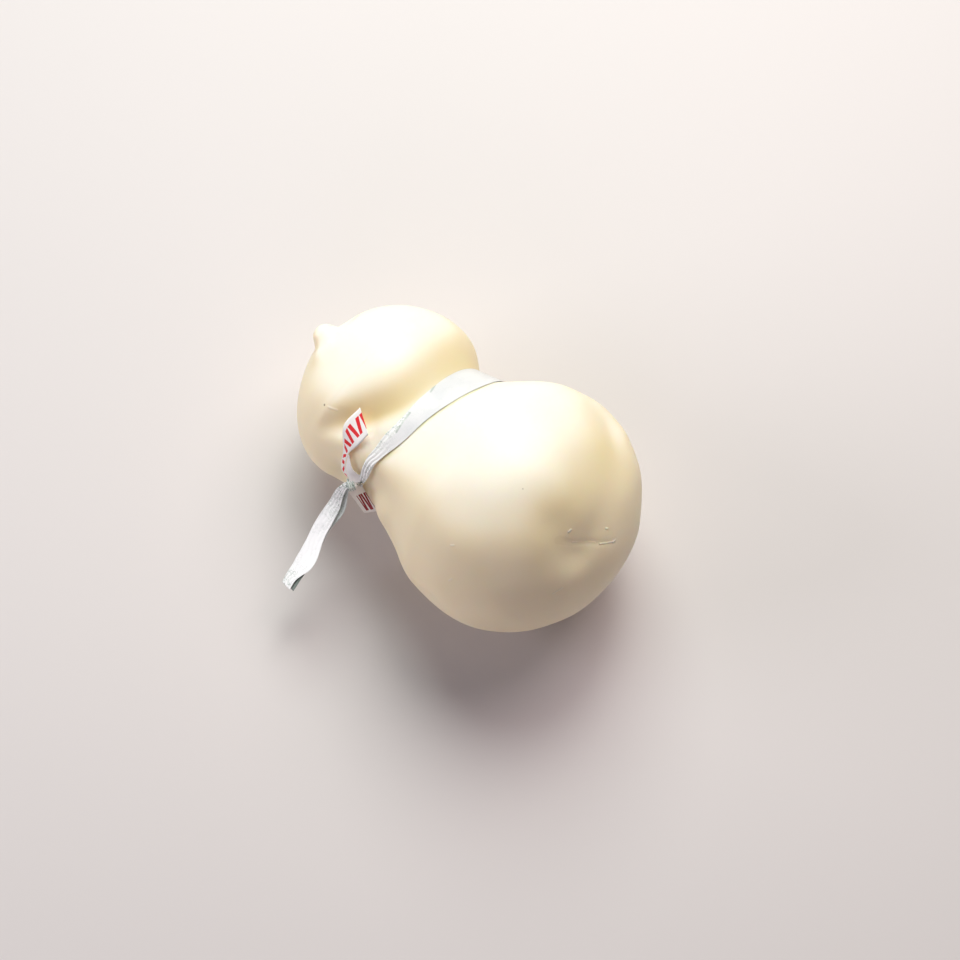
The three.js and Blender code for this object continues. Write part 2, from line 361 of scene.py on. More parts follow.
def cheeseSkin():
    rings = stationsOf(outline, cheese["stations"])
    even = np.linspace(-math.pi, math.pi, cheese["around"], endpoint=False)
    turn = even - cheese["finerOnTop"] * np.sin(even)
    at = np.repeat(rings[:, :1], len(turn), axis=1)
    radius = np.repeat(rings[:, 1:], len(turn), axis=1)
    turn = np.broadcast_to(turn, at.shape)
    points = np.stack([at, radius * np.sin(turn), radius * np.cos(turn)], axis=-1)
    outwards = unit(points - np.clip(at, 0, cheese["spacing"])[..., None] * axisX)
    rise = relief(points, at, turn) + cheese["unevenness"] * lumpiness(points, 3)
    away, share = fromLine(points, onSurface(throughPlaces(wrinkle["line"], 5)))
    fades = ramp(share, 0, 0.2) * (1 - ramp(share, 0.85, 1))
    rise -= wrinkle["depth"] * bump(away, wrinkle["width"]) * fades
    laid = points + outwards * rise[..., None]
    towardsNub = 1 - ramp(at, *cheese["nubMoves"])
    laid = turnedTo("Y", laid, math.radians(cheese["nubSwing"]) * towardsNub)
    laid = turnedTo("Z", laid, -math.radians(cheese["nubTilt"]) * towardsNub)
    laid = layDown(offCentre(laid, at))
    laid[..., 2] = np.maximum(laid[..., 2], 0)
    normals = unit(np.cross(np.gradient(laid, axis=0), np.gradient(laid, axis=1)))
    return laid, {"form": points, "at": at, "turn": turn, "fromWrinkle": away, "normals": normals}


def makeMesh(name, points, faces, material):
    mesh = bpy.data.meshes.new(name)
    mesh.from_pydata(points.tolist(), [], faces)
    mesh.polygons.foreach_set("use_smooth", [True] * len(mesh.polygons))
    mesh.materials.append(material)
    piece = bpy.data.objects.new(name, mesh)
    bpy.context.scene.collection.objects.link(piece)
    return piece


# The frame puts the origin under the middle of the whole part
ownSkin, ownGrid = cheeseSkin()
low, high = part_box("cheese")
boxMiddle = np.array((low + high) / 2) / millimetre
ownMiddle = (ownSkin.min(axis=(0, 1)) + ownSkin.max(axis=(0, 1))) / 2
shift = np.array([boxMiddle[0] - ownMiddle[0], boxMiddle[1] - ownMiddle[1], 0])
print("shift to the frame", shift.round(3), "mm")


def placed(points):
    return (np.asarray(points) + shift) * millimetre


# The point of the finished skin at a place
def skinSpot(at, turn):
    sideways = (ownGrid["turn"] - math.radians(turn)) * cheese["bodyRadius"]
    away = (ownGrid["at"] - at) ** 2 + sideways**2
    return placed(ownSkin[np.unravel_index(away.argmin(), away.shape)]).tolist()


# Painted light and shade on the skin: painted gold shade in the crease and the dent, a painted shadow
# where the ribbon's shade is on it, where it is wet, and painted light, paler where it faces up to the lamps
def skinShades(form, at, turn, fromWrinkle, normals):
    degrees = np.degrees(turn)
    past = at - creaseAt(turn)
    beside = np.where(past < 0, bump(past, crease["paintedShadeTowardsHead"]), bump(past, crease["paintedShadeTowardsBody"]))
    strongest, reach = crease["paintedShadeStrongest"]
    paintedHollowShade = creaseShown(turn) * beside * (0.6 + 0.3 * bump(degrees - strongest, reach))
    away, share = fromLine(form, onSurface(dent["paintedShadeGold"]))
    paintedHollowShade += (0.6 - 0.3 * share) * bump(away, dent["paintedShadeReach"])
    _, middle, width, _ = bandShape(degrees)
    below = at - middle - width / 2
    # painted shadow of the band: a thin line under its edge, and a spot where the strand opens
    shade = bump(below - 0.15, 0.4) * ramp(degrees, -22, -10) * (1 - ramp(degrees, 30, 60))
    shade += bump(below - 0.4, 0.9) * bump(degrees + 37, 6)
    return {
        "paintedHollowShade": np.clip(paintedHollowShade, 0, 1),
        "shade": np.clip(shade, 0, 1),
        "wet": bump(fromWrinkle, wrinkle["wetReach"]),
        # painted light: paler where the skin faces up to the lamps
        "paintedLight": ramp(normals @ unit(np.array([-0.35, 0.25, 0.9])), 0.45, 0.92),
    }


def cheesePiece(material):
    rings, around = ownSkin.shape[:2]
    points = np.concatenate([ownSkin[0, :1], ownSkin[1:-1].reshape(-1, 3), ownSkin[-1, :1]])
    last = len(points) - 1
    ring = lambda i, j: 1 + (i - 1) * around + j % around
    faces = [(0, ring(1, j + 1), ring(1, j)) for j in range(around)]
    for i in range(1, rings - 2):
        faces += [(ring(i, j), ring(i, j + 1), ring(i + 1, j + 1), ring(i + 1, j)) for j in range(around)]
    faces += [(ring(rings - 2, j), ring(rings - 2, j + 1), last) for j in range(around)]
    piece = makeMesh("cheeseSkin", placed(points), faces, material)
    for name, values in skinShades(**ownGrid).items():
        values = np.concatenate([values[0, :1], values[1:-1].reshape(-1), values[-1, :1]])
        attribute = piece.data.attributes.new(name, "FLOAT", "POINT")
        attribute.data.foreach_set("value", values.astype(np.float32))
    return piece


# Node trees: a wrapped socket adds, subtracts and so on by adding nodes to its own tree. A vector is
# only ever multiplied by a number.

class Wire:
    def __init__(self, nodes, socket):
        self.nodes = nodes
        self.socket = socket

    def other(self, name):
        return Wire(self.nodes, self.socket.node.outputs[name])

    def worked(self, operation, other, swapped=False):
        vectors = self.isVector() or (isinstance(other, Wire) and other.isVector())
        if vectors and operation == "MULTIPLY":
            vector, number = (self, other) if self.isVector() else (other, self)
            return self.nodes.scaled(vector, number)
        kind = "ShaderNodeVectorMath" if vectors else "ShaderNodeMath"
        a, b = (other, self) if swapped else (self, other)
        return self.nodes.add(kind, {"operation": operation}, {0: a, 1: b})

    def isVector(self):
        return self.socket.type == "VECTOR"

    def __add__(self, other):
        return self.worked("ADD", other)

    def __sub__(self, other):
        return self.worked("SUBTRACT", other)

    def __rsub__(self, other):
        return self.worked("SUBTRACT", other, swapped=True)

    def __mul__(self, other):
        return self.worked("MULTIPLY", other)

    def __rtruediv__(self, other):
        return self.worked("DIVIDE", other, swapped=True)

    __radd__ = __add__
    __rmul__ = __mul__


class Nodes:
    def __init__(self, tree):
        self.tree = tree
        tree.nodes.clear()

    # settings come first, because some of them change which sockets a node has
    def add(self, kind, settings=None, sockets=None, out=0):
        node = self.tree.nodes.new(kind)
        for name, value in (settings or {}).items():
            setattr(node, name, value)
        for name, value in (sockets or {}).items():
            slot = node.inputs[name]
            if isinstance(value, Wire):
                self.tree.links.new(value.socket, slot)
            else:
                slot.default_value = value
        outputs = [o for o in node.outputs if o.enabled and (o.name == out or isinstance(out, int))]
        return Wire(self, outputs[out if isinstance(out, int) else 0]) if outputs else None

    def function(self, name, value, other=0.0):
        return self.add("ShaderNodeMath", {"operation": name}, {0: value, 1: other})

    def vector(self, name, value, other=(0, 0, 0), out=0):
        return self.add("ShaderNodeVectorMath", {"operation": name}, {0: value, 1: other}, out)

    def scaled(self, vector, number):
        return self.add("ShaderNodeVectorMath", {"operation": "SCALE"}, {0: vector, "Scale": number})

    def smooth(self, value, low, high):
        sockets = {"Value": value, "From Min": low, "From Max": high}
        return self.add("ShaderNodeMapRange", {"interpolation_type": "SMOOTHSTEP"}, sockets)

    def attribute(self, name):
        return self.add("ShaderNodeAttribute", {"attribute_name": name}, {}, "Fac")

    def mixed(self, share, a, b):
        return self.add("ShaderNodeMix", {"data_type": "RGBA"}, {"Factor": share, 6: a, 7: b}, "Result")

    def noise(self, place, scale, detail, rough=0.5):
        sockets = {"Vector": place, "Scale": scale, "Detail": detail, "Roughness": rough}
        return self.add("ShaderNodeTexNoise", {}, sockets)


# A strip of film laid along rails: each rail point carries the way across, the way out of the face,
# the width and how tightly the film is gathered there. Sizes in metres.
def stripTree():
    tree = bpy.data.node_groups.new("filmAlongRails", "GeometryNodeTree")
    nodes = Nodes(tree)
    face = tree.interface
    face.new_socket("Geometry", in_out="INPUT", socket_type="NodeSocketGeometry")
    for name, kind in (
        ("Steps", "Int"), ("Widthways", "Int"), ("Length", "Float"), ("Pleats", "Float"),
        ("Pleat Depth", "Float"), ("Crumple", "Float"), ("Crumple Size", "Float"), ("Seed", "Float"),
        ("Lies On", "Object"), ("Clearance", "Float"), ("Finish", "Material"),
    ):
        face.new_socket(name, in_out="INPUT", socket_type="NodeSocket" + kind)
    face.new_socket("Geometry", in_out="OUTPUT", socket_type="NodeSocketGeometry")
    given = nodes.add("NodeGroupInput").other
    rails = nodes.add("GeometryNodeMeshToCurve", {}, {"Mesh": given("Geometry")})
    blank = nodes.add(
        "GeometryNodeMeshGrid", {},
        {"Size X": 1.0, "Size Y": 1.0, "Vertices X": given("Steps"), "Vertices Y": given("Widthways")},
    )
    place = nodes.add("ShaderNodeSeparateXYZ", {}, {0: nodes.add("GeometryNodeInputPosition")})
    share = place.other("X") + 0.5
    side = place.other("Y")

    def carried(name, kind):
        value = nodes.add("GeometryNodeInputNamedAttribute", {"data_type": kind}, {"Name": name})
        sockets = {"Curves": rails, "Value": value, "Factor": share}
        return nodes.add("GeometryNodeSampleCurve", {"mode": "FACTOR", "data_type": kind}, sockets)

    across = carried("across", "FLOAT_VECTOR")
    outwards = nodes.vector("NORMALIZE", carried("outwards", "FLOAT_VECTOR"))
    width = carried("width", "FLOAT")
    gathered = carried("gathered", "FLOAT")
    flat = across.other("Position") + across * (side * width)

    # film can't pass through what it lies on, which is looked for this far out of the face
    reach = 0.008
    under = nodes.add("GeometryNodeObjectInfo", {}, {"Object": given("Lies On")}, "Geometry")
    hit = nodes.add(
        "GeometryNodeRaycast", {},
        {"Target Geometry": under, "Source Position": flat + outwards * reach,
         "Ray Direction": outwards * -1.0, "Ray Length": 2 * reach},
        "Is Hit",
    )
    pushed = nodes.function("MAXIMUM", reach - hit.other("Hit Distance") + given("Clearance"), 0.0) * hit

    along = share * given("Length")
    driftAt = nodes.add("ShaderNodeCombineXYZ", {}, {"X": along, "Y": given("Seed")})
    drift = nodes.noise(driftAt, 140.0, 1.0) * 3.0
    pleat = nodes.function("SINE", (side * given("Pleats") + drift) * (2 * math.pi)) * 0.5 + 0.5
    crumpleAt = nodes.add(
        "ShaderNodeCombineXYZ", {}, {"X": along * 0.35, "Y": side * width, "Z": given("Seed")},
    )
    crumple = nodes.noise(crumpleAt, 1.0 / given("Crumple Size"), 2.0) * given("Crumple")
    raised = pushed + pleat * gathered * given("Pleat Depth") + crumple

    patterned = nodes.add(
        "GeometryNodeStoreNamedAttribute", {"data_type": "FLOAT2", "domain": "CORNER"},
        {"Geometry": blank, "Name": "UVMap",
         "Value": nodes.add("ShaderNodeCombineXYZ", {}, {"X": along * 100.0, "Y": side + 0.5})},
    )
    # the pleats' valleys, kept to paint shade into them
    valley = nodes.function("POWER", 1 - pleat, 4.0) * gathered
    for name, value in (("valley", valley), ("gathered", gathered)):
        patterned = nodes.add(
            "GeometryNodeStoreNamedAttribute", {"data_type": "FLOAT", "domain": "POINT"},
            {"Geometry": patterned, "Name": name, "Value": value},
        )
    laid = nodes.add(
        "GeometryNodeSetPosition", {}, {"Geometry": patterned, "Position": flat + outwards * raised}
    )
    smooth = nodes.add("GeometryNodeSetShadeSmooth", {}, {"Geometry": laid})
    real = nodes.add("GeometryNodeRealizeInstances", {}, {"Geometry": smooth})
    finished = nodes.add("GeometryNodeSetMaterial", {}, {"Geometry": real, "Material": given("Finish")})
    nodes.add("NodeGroupOutput", {}, {"Geometry": finished})
    return tree


# rails is a dictionary of arrays, a row for each point: its place and the width in millimetres, the
# ways across and out of the film, and how gathered it is. film gives the tree's inputs, and any that
# it leaves out are as here.
def strip(name, rails, thick, material, film):
    mesh = bpy.data.meshes.new(name + "Rails")
    points = placed(rails["points"])
    mesh.from_pydata(points.tolist(), [(i, i + 1) for i in range(len(points) - 1)], [])
    for key, kind, field, scale in (
        ("across", "FLOAT_VECTOR", "vector", 1), ("outwards", "FLOAT_VECTOR", "vector", 1),
        ("width", "FLOAT", "value", millimetre), ("gathered", "FLOAT", "value", 1),
    ):
        values = np.asarray(rails[key], np.float32).ravel() * scale
        mesh.attributes.new(key, kind, "POINT").data.foreach_set(field, values)
    rail = bpy.data.objects.new(name + "Rails", mesh)
    bpy.context.scene.collection.objects.link(rail)
    nodes = rail.modifiers.new("film", "NODES")
    nodes.node_group = filmTree
    given = {
        "Length": float(np.linalg.norm(np.diff(points, axis=0), axis=1).sum()),
        "Pleats": 3.0, "Pleat Depth": 0.0, "Crumple": 0.0, "Crumple Size": 0.004, "Seed": 1.0,
        "Clearance": 0.0, "Finish": material, **film,
    }
    for socket in filmTree.interface.items_tree:
        if socket.in_out == "INPUT" and socket.name in given:
            nodes[socket.identifier] = given[socket.name]
    shell = rail.modifiers.new("thickness", "SOLIDIFY")
    shell.thickness = thick * millimetre
    shell.offset = 0
    graph = bpy.context.evaluated_depsgraph_get()
    laid = bpy.data.meshes.new_from_object(rail.evaluated_get(graph), depsgraph=graph)
    laid.name = name
    rail.modifiers.clear()
    bpy.data.objects.remove(rail)
    piece = bpy.data.objects.new(name, laid)
    bpy.context.scene.collection.objects.link(piece)
    return piece


filmTree = stripTree()


# Ribbon

band = {
    "at": 14.7,
    "skew": 2.6,
    "lean": 2.6,
    "swerve": 1,
    "swerves": [(-26, 16), (-57, 9)],  # degrees round the axis and reach
    "width": 10.8,
    "strand": 2.4,
    "starts": -67,  # degrees round the axis
    "open": (56, 215),
    "ends": 291,
    "tiedOver": 45,
    "lift": 0.6,  # of the strand beside the knot
    "clearance": 0.04,
    "thick": 0.06,
    "film": {"Steps": 420, "Widthways": 48, "Pleats": 3.0, "Pleat Depth": 0.00025, "Crumple": 0.0004,
             "Seed": 2.0},
    # dark lines painted along the band's slits, where the plies meet: painted shade
    "slits": [((12.4, 25), (14.5, 13)), ((14.9, -8), (15.8, -23))],
    # a narrow upper ply runs on from the strand over the open band: its two edges
    "plyEdges": [
        [(13.8, -56), (14, -48), (13.9, -37), (13.8, -29), (14.1, -20), (14.2, -6), (13.8, 6)],
        [(15.1, -56), (15.8, -47), (16, -37), (15.9, -23), (15.4, -10), (14.9, -3), (14.2, 6)],
    ],
    "plyLift": 0.55,
    "plyFilm": {"Steps": 160, "Widthways": 14, "Pleats": 2.0, "Pleat Depth": 0.0002, "Crumple": 0.0002,
                "Seed": 4.0},
}

# The gathered ends hang from the knot as two plies.
# Each row: share of the route, width, and how far the ply lies to the side and out of the route
tail = {
    "route": [(10, -30.6, 40.4), (9.6, -32.5, 37.5), (10.1, -35.3, 33.7), (10.6, -42.4, 28.4),
              (12.3, -50.4, 23.9), (13.7, -61, 18.6)],
    "knotShare": 0.075,  # of the tail's line, where the knot is
    "tied": 1.5,  # width of each end in the knot
    "apart": 0.3,  # of each from the middle there
    "lean": 34,  # of the tail's end, in degrees
    "front": [(0.02, 1.5, 0, 0.1), (0.1, 1.9, -0.2, 0.3), (0.22, 3.4, -0.5, 0.3), (0.4, 5, -0.2, 0.3),
              (0.6, 5.9, 0.15, 0.2), (0.73, 7.2, 0.75, 0.2), (0.8, 7, 0.6, 0.2), (0.86, 5.6, 0, 0.1),
              (0.92, 4.7, -0.5, 0.1), (1, 4.5, -0.4, 0.1)],
    "back": [(0.02, 1.4, 0, -0.3), (0.1, 1.8, 0.3, -0.4), (0.22, 3.2, 0.9, -0.5), (0.32, 4.2, 1, -0.5),
             (0.45, 4.8, 0.3, -0.5), (0.65, 5.2, 0, -0.4), (0.85, 5.3, 0.2, -0.4), (0.99, 5.2, 0.4, -0.4)],
    "thick": 0.12,
    "film": {"Steps": 220, "Widthways": 40, "Pleats": 4.0, "Pleat Depth": 0.00018, "Crumple": 0.0005,
             "Crumple Size": 0.0024},
    "seeds": {"tailFront": 5.0, "tailBack": 9.0},
    "ring": {"across": 1.35, "out": 1.1, "along": -0.3, "tilt": 0.3, "width": 1.9, "gathered": 1.4},
    "ringFilm": {"Steps": 120, "Widthways": 18, "Pleats": 3.0, "Pleat Depth": 0.0003, "Crumple": 0.0004,
                 "Crumple Size": 0.0015, "Seed": 7.0},
}


def bandShape(degrees):
    turn = np.radians(degrees)
    opens, closes = band["open"]
    opened = ramp(degrees, band["starts"], opens) * (1 - ramp(degrees, closes, band["ends"]))
    fromEnd = np.minimum(degrees - band["starts"], band["ends"] - degrees)
    tied = 1 - ramp(fromEnd, 0, band["tiedOver"])
    swerves = sum(bump(degrees - place, reach) for place, reach in band["swerves"])
    middle = (
        band["at"] + band["skew"] * np.sin(turn) + band["lean"] * np.maximum(0, np.cos(turn))
        + band["swerve"] * swerves
    )
    return turn, middle, blend(band["strand"], band["width"], opened), tied


def outOf(points, across):
    return unit(np.cross(np.gradient(points, axis=0), across))


# The band's edges rest on the skin, and the film is taut between them
def bandRails():
    degrees = np.linspace(band["starts"], band["ends"], 150)
    turn, middle, width, tied = bandShape(degrees)
    lift = band["lift"] * tied + band["clearance"]
    near = skinPoint(middle - width / 2, turn, lift)
    far = skinPoint(middle + width / 2, turn, lift)
    points = (near + far) / 2
    across = unit(near - far)
    return points, across, width, tied


bandPoints, bandAcross, bandWidth, bandTied = bandRails()
knotStart = (bandPoints[0] + bandPoints[-1]) / 2
tailLine = smoothLine([knotStart, *tail["route"]], 40)


# Places along the tail, and the ways across and out of it there
def tailFrames(shares):
    shares = np.asarray(shares, float)
    points = atShares(tailLine, shares)
    after, before = np.minimum(shares + 0.01, 1), np.maximum(shares - 0.01, 0)
    along = unit(atShares(tailLine, after) - atShares(tailLine, before))
    lean = np.radians(tail["lean"] * shares)
    across = np.stack([np.cos(lean), 0 * lean, np.sin(lean)], axis=-1)
    outwards = unit(np.cross(along, across))
    return points, np.cross(outwards, along), outwards, along


def knotFrame():
    return (values[0] for values in tailFrames([tail["knotShare"]]))


# A little over one turn round the gathered ribbon, its end lying on its start
def ringRails(ring):
    points, across, outwards, along = knotFrame()
    overlapping, first = 1.08, 0.4  # turns, and the angle of its start
    turn = np.linspace(0, 2 * math.pi * overlapping, 40) + first
    spread = 0.12 * np.linspace(0, 1, 40)
    around = np.outer(np.cos(turn) * (ring["across"] + spread), across)
    around += np.outer(np.sin(turn) * (ring["out"] + spread), outwards)
    rails = {
        "points": points + around + np.outer(ring["along"] + np.cos(turn) * ring["tilt"], along),
        "outwards": unit(around),
        "width": np.full(40, ring["width"]),
        "gathered": np.full(40, ring["gathered"]),
    }
    rails["across"] = unit(np.cross(rails["outwards"], np.gradient(rails["points"], axis=0)))
    return rails


def ribbonPieces(satin, skin):
    shares = np.array([tail["knotShare"], tail["knotShare"] * 0.5])
    points, across, outwards, _ = tailFrames(shares)
    tiedWidth = np.full(2, tail["tied"])
    apart = tail["apart"] * outwards
    rails = {
        "points": np.concatenate([points + apart, bandPoints, (points - apart)[::-1]]),
        "across": np.concatenate([-across, bandAcross, -across[::-1]]),
        "width": np.concatenate([tiedWidth, bandWidth, tiedWidth]),
        "gathered": np.concatenate([[1, 1], blend(0.06, 1, bandTied), [1, 1]]),
    }
    rails["outwards"] = outOf(rails["points"], rails["across"])
    rails["outwards"][:2] = outwards
    rails["outwards"][-2:] = outwards[::-1]
    lies = {"Clearance": band["clearance"] * millimetre, "Lies On": skin}
    loop = strip("neckBand", rails, band["thick"], satin["band"], {**band["film"], **lies})
    edges = [throughPlaces(edge) for edge in band["plyEdges"]]
    near, far = (skinPoint(edge[:, 0], np.radians(edge[:, 1]), band["plyLift"]) for edge in edges)
    upperPly = strip("neckPly", edgeRails(near, far, 0.5), band["thick"], satin["band"], band["plyFilm"])
    # the ring round the knot takes the grey copy of the film: painted shade
    ring = strip("knotRing", ringRails(tail["ring"]), tail["thick"], satin["back"], tail["ringFilm"])
    pieces = [loop, upperPly, ring]
    for name, rows, finish in (
        ("tailFront", tail["front"], satin["front"]), ("tailBack", tail["back"], satin["back"]),
    ):
        rows = smoothLine([(row[0] * 10, row[2], row[3], row[1]) for row in rows], 8)
        share = rows[:, 0] / 10
        points, across, outwards, _ = tailFrames(share)
        rails = {
            "points": points + across * rows[:, 1:2] + outwards * rows[:, 2:3],
            "across": across,
            "outwards": outwards,
            "width": rows[:, 3],
            # most at the knot, and a little again at the cut end
            "gathered": 0.15 + 0.85 * (1 - ramp(share, 0.06, 0.5)) + 0.5 * ramp(share, 0.82, 0.95),
        }
        film = {**tail["film"], "Seed": tail["seeds"][name]}
        pieces.append(strip(name, rails, tail["thick"], finish, film))
    return pieces


# The rails of a strip between its two edges
def edgeRails(left, right, gathered):
    across = unit(right - left)
    middle = (left + right) / 2
    return {
        "points": middle,
        "across": across,
        "outwards": outOf(middle, across),
        "width": np.linalg.norm(right - left, axis=1),
        "gathered": np.full(len(middle), gathered),
    }


# Label tape

def fromKnot(across, out, along=0):
    points, wayAcross, outwards, wayAlong = knotFrame()
    return points + across * wayAcross + out * outwards + along * wayAlong


# Each flag is given by its two edges
tape = {
    "ring": {"across": 1.25, "out": 0.9, "along": -0.9, "tilt": 0.2, "width": 1.8, "gathered": 0.5},
    "ringFilm": {"Steps": 120, "Widthways": 18, "Pleats": 1.0, "Pleat Depth": 0.0003, "Crumple": 0.0003,
                 "Crumple Size": 0.0025, "Seed": 1.0},
    "thick": 0.14,
    "film": {"Steps": 90, "Widthways": 14, "Crumple": 0.0002, "Seed": 3.0},
    "lowerLength": 0.0095,  # of the print on the lower flag, in metres
    "flagUpper": [
        [fromKnot(-1.9, 1), (5.8, -28.6, 43.2), (3, -24.7, 48), (-0.6, -20.6, 52.4), (-0.2, -14.2, 55.6)],
        [fromKnot(-1.2, 1.6), (6.4, -27.6, 44.6), (5.3, -25.1, 48.1), (6.4, -21.9, 51.8), (6.9, -18, 54.4)],
    ],
    "flagRoot": [
        [fromKnot(-0.1, 1.3, 0.3), fromKnot(-0.9, 2, -0.2), (7, -27.9, 44.2), (5.5, -25.5, 48.4)],
        [fromKnot(0.9, 1.3, -2.8), fromKnot(0.2, 2, -3.7), (8.7, -27, 46), (5.8, -25.2, 48.6)],
    ],
    "flagLower": [
        [(10.9, -31.4, 39.3), (11.4, -29.2, 39.2), (11.9, -27.1, 38.5)],
        [(17, -31.4, 31), (18.2, -29.9, 31), (19.4, -28.4, 31.4)],
    ],
}


def tapePieces(plain, printed, printedEndPaintedShade):
    pieces = [strip("tapeWrap", ringRails(tape["ring"]), tape["thick"], plain, tape["ringFilm"])]
    for name, finish, more in (
        ("flagUpper", printed, {}), ("flagRoot", plain, {}),
        ("flagLower", printedEndPaintedShade, {"Length": tape["lowerLength"]}),
    ):
        rails = edgeRails(*(smoothLine(edge, 10) for edge in tape[name]), 0.2)
        pieces.append(strip(name, rails, tape["thick"], finish, {**tape["film"], **more}))
    return pieces


# Materials

def newMaterial(name):
    material = bpy.data.materials.new(name)
    material.use_nodes = True
    return material, Nodes(material.node_tree)


# Distance from a place to the line between two points
def fromSegment(nodes, place, start, end):
    way = [b - a for a, b in zip(start, end)]
    square = sum(w * w for w in way)
    offset = nodes.vector("SUBTRACT", place, start)
    along = nodes.vector("DOT_PRODUCT", offset, [w / square for w in way], "Value")
    along = nodes.function("MINIMUM", nodes.function("MAXIMUM", along, 0.0), 1.0)
    return nodes.vector("LENGTH", nodes.vector("SUBTRACT", offset, nodes.scaled(way, along)), out="Value")


# Colours of the skin. The paler ivory, the gold, the yellow-green beside the ribbon and the light colour of
# the welts are painted light and shade: painted light on the lit top, painted shade in the crease, the dent
# and beside the band, and painted highlights along the welts
skinFinish = {
    "ivory": (0.92, 0.79, 0.54, 1),
    "paintedLitIvory": (0.97, 0.905, 0.77, 1),
    "paintedShadeGold": (0.8, 0.65, 0.32, 1),
    "paintedRibbonShadow": (0.66, 0.62, 0.2, 1),
    "speck": (0.2, 0.16, 0.1, 1),
    "weltWithPaintedGlint": (1, 0.93, 0.78, 1),
    "roughness": 0.38,
    "wetSmoother": 0.22,
}


def skinMaterial():
    material, nodes = newMaterial("cheeseSkin")
    place = nodes.add("ShaderNodeTexCoord", {}, {}, "Object")
    paintedHollowShade, shade, wet, paintedLight = (nodes.attribute(key) for key in ("paintedHollowShade", "shade", "wet", "paintedLight"))
    broad = nodes.noise(place, 32.0, 2.0)
    # painted light: paler where the skin faces up to the lamps, mixed with random paler patches
    paintedLightAndTone = nodes.smooth(paintedLight * 0.85 + (broad - 0.5) * 0.4 + 0.08, 0.0, 1.0)
    colour = nodes.mixed(paintedLightAndTone, skinFinish["ivory"], skinFinish["paintedLitIvory"])
    # painted gold shade in the crease and the dent
    colour = nodes.mixed(paintedHollowShade * 0.95, colour, skinFinish["paintedShadeGold"])
    # painted shadow of the band on the skin
    colour = nodes.mixed(shade * 0.6, colour, skinFinish["paintedRibbonShadow"])
    for at, turn, radius, darkness in specks:
        away = nodes.vector("LENGTH", nodes.vector("SUBTRACT", place, skinSpot(at, turn)), out="Value")
        dark = 1 - nodes.smooth(away, 0.5 * radius * millimetre, radius * millimetre)
        colour = nodes.mixed(dark * darkness, colour, skinFinish["speck"])
    height = 0.0
    for start, end, width, proud in welts:
        away = fromSegment(nodes, place, skinSpot(*start), skinSpot(*end))
        weltWithPaintedGlint = 1 - nodes.smooth(away, 0.0, width * millimetre)
        height = weltWithPaintedGlint * (proud * millimetre) + height
        # each welt is also painted paler: a painted highlight for the glint along it
        colour = nodes.mixed(weltWithPaintedGlint * min(0.9, 3.5 * proud), colour, skinFinish["weltWithPaintedGlint"])
    welted = nodes.add("ShaderNodeBump", {}, {"Strength": 1.0, "Distance": 1.0, "Height": height})
    fine = nodes.noise(place, 900.0, 3.0)
    mid = nodes.noise(place, 180.0, 3.0)
    bumped = nodes.add(
        "ShaderNodeBump", {},
        {"Strength": 0.2, "Distance": 0.0003, "Height": fine * 0.3 + mid, "Normal": welted},
    )
    rough = skinFinish["roughness"] + mid * 0.16 - wet * skinFinish["wetSmoother"]
    surface = nodes.add(
        "ShaderNodeBsdfPrincipled", {},
        {"Base Color": colour, "Roughness": rough, "Subsurface Weight": 0.35,
         "Subsurface Radius": (1.0, 0.62, 0.3), "Subsurface Scale": 0.004, "Normal": bumped,
         "Coat Weight": wet * 0.8, "Coat Roughness": 0.12, "IOR": 1.45},
    )
    nodes.add("ShaderNodeOutputMaterial", {}, {"Surface": surface})
    return material


# Each satin goes from one colour to another where it lies flat, and from one to another where it is
# gathered into threads
white = (0.96, 0.98, 0.95, 1), (0.99, 0.99, 0.98, 1)
grey = (0.5, 0.56, 0.52, 1), (0.74, 0.78, 0.75, 1)
satinFinish = {
    # the band's flat film is a greyer copy of the white film, in soft grey patches: painted shade, as the
    # band stands in stronger light
    "bandSatin": {"flat": ((0.69, 0.7, 0.715, 1), (0.78, 0.78, 0.78, 1)), "threads": white},
    "tailSatin": {"flat": white, "threads": white},
    # the back ply and the ring round the knot take a grey copy of the white film: painted shade
    "shadedSatin": {"flat": grey, "threads": grey},
    # painted shade for the pleats' valleys, fine creases and slits
    "paintedFoldShade": (0.2, 0.3, 0.23, 1),
    # painted shadow of the front ply over the end of the back ply, and where it lies
    "dark": (0.13, 0.16, 0.135, 1),
    "paintedShadowFrom": (2.75, 3.1),  # along the tail's back ply, in centimetres
}


